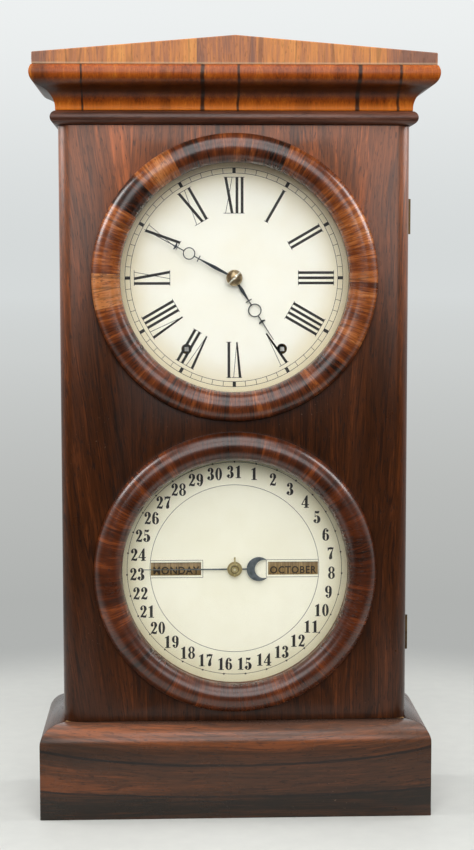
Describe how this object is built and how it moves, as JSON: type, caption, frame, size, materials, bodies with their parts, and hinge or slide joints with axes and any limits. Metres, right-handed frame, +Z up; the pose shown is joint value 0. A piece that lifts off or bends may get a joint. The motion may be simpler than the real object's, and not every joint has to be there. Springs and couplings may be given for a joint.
{
  "type": "double dial calendar clock",
  "caption": "Shelf clock in a tall veneered case with a hinged door, a time dial above and a calendar dial below, each in a round wooden bezel.",
  "frame": {"origin": "middle of the clock's width and depth, on the surface that it stands on", "axes": "+X to the right seen from the front, +Y to the back, +Z up"},
  "size_m": [0.353, 0.128, 0.686],
  "materials": {
    "door_veneer": "glossy shellac on figured rosewood veneer, grain upright",
    "case_veneer": "satin shellac on straight rosewood veneer",
    "bezel_veneer": "glossy shellac on veneer with radial grain",
    "cornice_veneer": "glossy shellac on cross grained veneer",
    "gable_veneer": "shellac on light cross grained veneer",
    "bead_wood": "glossy stained hardwood",
    "base_veneer": "glossy shellac on wavy veneer, grain level",
    "crown_top_wood": "dull stained wood",
    "plain_wood": "aged raw softwood",
    "glass_ring_wood": "dull stained wood",
    "clear_glass": "clear window glass",
    "time_dial_paint": "aged ivory paint on zinc",
    "calendar_dial_paint": "aged ivory paint on zinc",
    "blued_steel": "blued steel, near black",
    "roller_paper": "varnished brown paper on a turned wooden drum",
    "aged_brass": "tarnished brass",
    "brass": "polished brass",
    "steel": "plain steel",
    "cast_iron": "black japanned iron"
  },
  "bodies": {
    "case": {"base_board_front": "base_veneer", "base_board_left": "base_veneer", "base_board_right": "base_veneer", "base_back_rail": "plain_wood", "base_top_board": "plain_wood", "case_left_side": "case_veneer", "case_right_side": "case_veneer", "case_floor": "plain_wood", "case_top_board": "plain_wood", "case_backboard": "plain_wood", "neck_bead_front": "bead_wood", "neck_bead_left": "bead_wood", "neck_bead_right": "bead_wood", "cornice_front": "cornice_veneer", "cornice_left": "cornice_veneer", "cornice_right": "cornice_veneer", "gable_board": "gable_veneer", "crown_top_board": "crown_top_wood", "hinge_case_leaves": "aged_brass", "hinge_pins": "aged_brass", "dial_battens": "plain_wood", "upper_dial": "time_dial_paint", "calendar_dial": "calendar_dial_paint", "dial_screws": "aged_brass", "movement_front_plate": "brass", "movement_back_plate": "brass", "movement_posts": "brass", "mainsprings": "steel", "gong": "cast_iron", "calendar_frame": "cast_iron"},
    "door": {"door_panel": "door_veneer", "upper_bezel": "bezel_veneer", "lower_bezel": "bezel_veneer", "door_glasses": "clear_glass", "glass_retaining_rings": "glass_ring_wood", "hinge_door_leaves": "aged_brass", "door_catch": "aged_brass"},
    "minute_hand_set": {"cannon_pinion": "brass", "minute_hand": "blued_steel"},
    "minute_wheel": {"minute_wheel": "brass"},
    "hour_hand_set": {"hour_wheel": "brass", "hour_hand": "blued_steel"},
    "third_wheel": {"third_wheel": "brass"},
    "center_wheel": {"center_wheel": "brass"},
    "time_second_wheel": {"time_second_wheel": "brass"},
    "time_great_wheel": {"time_great_wheel": "brass"},
    "escape_wheel": {"escape_wheel": "brass"},
    "time_winding_arbor": {"time_winding_arbor": "steel"},
    "strike_winding_arbor": {"strike_winding_arbor": "steel"},
    "strike_second_wheel": {"strike_second_wheel": "brass"},
    "strike_great_wheel": {"strike_great_wheel": "brass"},
    "strike_fly": {"strike_fly": "brass"},
    "pendulum": {"pendulum": "brass"},
    "verge": {"verge": "steel"},
    "hammer": {"hammer": "steel"},
    "date_set": {"date_wheel": "brass", "date_hand": "blued_steel"},
    "day_roller": {"day_roller": "roller_paper"},
    "month_roller": {"month_roller": "roller_paper"},
    "calendar_lift_rod": {"calendar_lift_rod": "steel"}
  },
  "joints": [
    {"name": "door_hinge", "type": "hinge", "parent": "case", "child": "door", "pos_m": [0.1549, -0.02325, 0.3485], "axis": [0, 0, 1], "range_deg": [0, 135]},
    {"name": "minute_spin", "type": "hinge", "parent": "case", "child": "minute_hand_set", "pos_m": [0, 0, 0.479], "axis": [0, 1, 0], "continuous": true},
    {"name": "minute_wheel_spin", "type": "hinge", "parent": "case", "child": "minute_wheel", "pos_m": [-0.01559, 0, 0.488], "axis": [0, 1, 0], "continuous": true},
    {"name": "hour_spin", "type": "hinge", "parent": "case", "child": "hour_hand_set", "pos_m": [0, 0, 0.479], "axis": [0, 1, 0], "continuous": true},
    {"name": "third_spin", "type": "hinge", "parent": "case", "child": "third_wheel", "pos_m": [0.01921, 0, 0.49889], "axis": [0, 1, 0], "continuous": true},
    {"name": "center_spin", "type": "hinge", "parent": "case", "child": "center_wheel", "pos_m": [0, 0, 0.479], "axis": [0, 1, 0], "continuous": true},
    {"name": "time_second_spin", "type": "hinge", "parent": "case", "child": "time_second_wheel", "pos_m": [0.02493, 0, 0.45415], "axis": [0, 1, 0], "continuous": true},
    {"name": "time_great_spin", "type": "hinge", "parent": "case", "child": "time_great_wheel", "pos_m": [0.0425, 0, 0.416], "axis": [0, 1, 0], "continuous": true},
    {"name": "escape_spin", "type": "hinge", "parent": "case", "child": "escape_wheel", "pos_m": [0, 0, 0.51282], "axis": [0, 1, 0], "continuous": true},
    {"name": "time_winding", "type": "hinge", "parent": "case", "child": "time_winding_arbor", "pos_m": [0.0425, 0, 0.416], "axis": [0, 1, 0], "range_deg": [0, 1500]},
    {"name": "strike_winding", "type": "hinge", "parent": "case", "child": "strike_winding_arbor", "pos_m": [-0.0425, 0, 0.416], "axis": [0, 1, 0], "range_deg": [0, 1500]},
    {"name": "strike_second_spin", "type": "hinge", "parent": "case", "child": "strike_second_wheel", "pos_m": [-0.02493, 0, 0.45415], "axis": [0, 1, 0], "continuous": true},
    {"name": "strike_great_spin", "type": "hinge", "parent": "case", "child": "strike_great_wheel", "pos_m": [-0.0425, 0, 0.416], "axis": [0, 1, 0], "continuous": true},
    {"name": "strike_fly_spin", "type": "hinge", "parent": "case", "child": "strike_fly", "pos_m": [-0.03083, 0, 0.48763], "axis": [0, 1, 0], "continuous": true},
    {"name": "pendulum_swing", "type": "hinge", "parent": "case", "child": "pendulum", "pos_m": [0, 0, 0.53482], "axis": [0, 1, 0], "range_deg": [-3.5, 3.5]},
    {"name": "verge_rock", "type": "hinge", "parent": "case", "child": "verge", "pos_m": [0, 0, 0.53482], "axis": [0, 1, 0], "range_deg": [-3.5, 3.5]},
    {"name": "hammer_lift", "type": "hinge", "parent": "case", "child": "hammer", "pos_m": [-0.05, 0, 0.44], "axis": [0, 1, 0], "range_deg": [0, 25]},
    {"name": "date_spin", "type": "hinge", "parent": "case", "child": "date_set", "pos_m": [0, 0, 0.218], "axis": [0, 1, 0], "continuous": true},
    {"name": "day_roller_spin", "type": "hinge", "parent": "case", "child": "day_roller", "pos_m": [-0.0528, -0.0061, 0.218], "axis": [1, 0, 0], "continuous": true},
    {"name": "month_roller_spin", "type": "hinge", "parent": "case", "child": "month_roller", "pos_m": [0.0528, 0.0049, 0.218], "axis": [1, 0, 0], "continuous": true},
    {"name": "calendar_lift", "type": "slide", "parent": "case", "child": "calendar_lift_rod", "axis": [0, 0, 1], "range_m": [0, 0.008]}
  ],
  "couplings": [
    {"joint": "minute_wheel_spin", "follows": "minute_spin", "ratio": -0.33333},
    {"joint": "hour_spin", "follows": "minute_spin", "ratio": 0.083333},
    {"joint": "center_spin", "follows": "third_spin", "ratio": -0.097222},
    {"joint": "time_second_spin", "follows": "third_spin", "ratio": 0.012464},
    {"joint": "time_great_spin", "follows": "third_spin", "ratio": -0.0020774},
    {"joint": "escape_spin", "follows": "third_spin", "ratio": -9.4286},
    {"joint": "strike_great_spin", "follows": "strike_second_spin", "ratio": -0.16667},
    {"joint": "strike_fly_spin", "follows": "strike_second_spin", "ratio": -11.143},
    {"joint": "verge_rock", "follows": "pendulum_swing", "ratio": 1},
    {"joint": "day_roller_spin", "follows": "date_spin", "ratio": 4.4286},
    {"joint": "month_roller_spin", "follows": "date_spin", "ratio": 0.083333}
  ]
}
